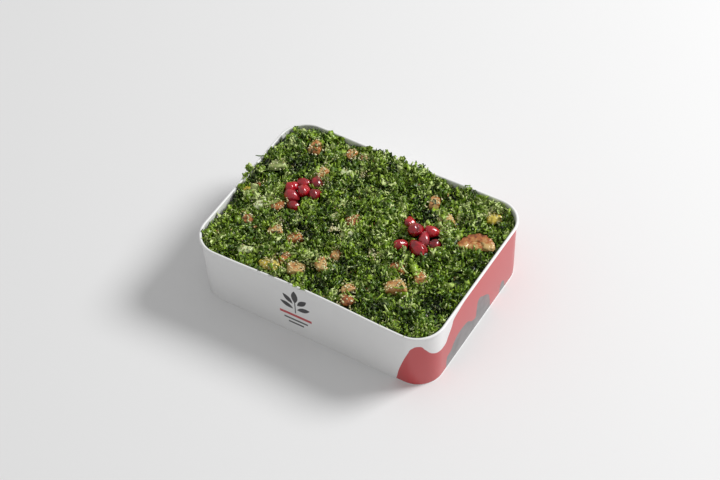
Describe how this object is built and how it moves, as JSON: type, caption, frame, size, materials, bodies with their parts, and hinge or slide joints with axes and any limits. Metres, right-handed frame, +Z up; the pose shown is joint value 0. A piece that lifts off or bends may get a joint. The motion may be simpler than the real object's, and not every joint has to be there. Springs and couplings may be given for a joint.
{
  "type": "tabbouleh salad in a take-away tray",
  "caption": "Rectangular paperboard take-away tray with rounded corners, filled with chopped parsley salad topped with pomegranate arils.",
  "frame": {"origin": "middle of the tray's foot, on the surface it stands on", "axes": "+Z up, +X along the tray's long side towards the printed end, +Y across it"},
  "size_m": [0.172, 0.126, 0.052],
  "materials": {
    "paperboard": "smooth white coated board with a flat printed end",
    "chopped_parsley": "moist chopped leaves with oily highlights",
    "pomegranate": "wet, glossy, slightly see-through",
    "tomato": "moist cut flesh",
    "pale_vegetable": "moist pale rib and flesh"
  },
  "bodies": {
    "root": {"pale_piece_01": "pale_vegetable", "pale_piece_02": "pale_vegetable", "pale_piece_03": "pale_vegetable", "pale_piece_04": "pale_vegetable", "pale_piece_05": "pale_vegetable", "pale_piece_06": "pale_vegetable", "pale_piece_07": "pale_vegetable", "pale_piece_08": "pale_vegetable", "pomegranate_aril_01": "pomegranate", "pomegranate_aril_02": "pomegranate", "pomegranate_aril_03": "pomegranate", "pomegranate_aril_04": "pomegranate", "pomegranate_aril_05": "pomegranate", "pomegranate_aril_06": "pomegranate", "pomegranate_aril_07": "pomegranate", "pomegranate_aril_08": "pomegranate", "pomegranate_aril_09": "pomegranate", "pomegranate_aril_10": "pomegranate", "pomegranate_aril_11": "pomegranate", "pomegranate_aril_12": "pomegranate", "pomegranate_aril_13": "pomegranate", "pomegranate_aril_14": "pomegranate", "salad": "chopped_parsley", "tomato_piece_01": "tomato", "tomato_piece_02": "tomato", "tomato_piece_03": "tomato", "tomato_piece_04": "tomato", "tomato_piece_05": "tomato", "tomato_piece_06": "tomato", "tomato_piece_07": "tomato", "tomato_piece_08": "tomato", "tomato_piece_09": "tomato", "tomato_piece_10": "tomato", "tomato_piece_11": "tomato", "tomato_piece_12": "tomato", "tomato_piece_13": "tomato", "tomato_piece_14": "tomato", "tomato_piece_15": "tomato", "tomato_piece_16": "tomato", "tomato_piece_17": "tomato", "tomato_piece_18": "tomato", "tomato_piece_19": "tomato", "tomato_piece_20": "tomato", "tomato_piece_21": "tomato", "tomato_slice": "tomato", "tray": "paperboard"}
  },
  "joints": []
}
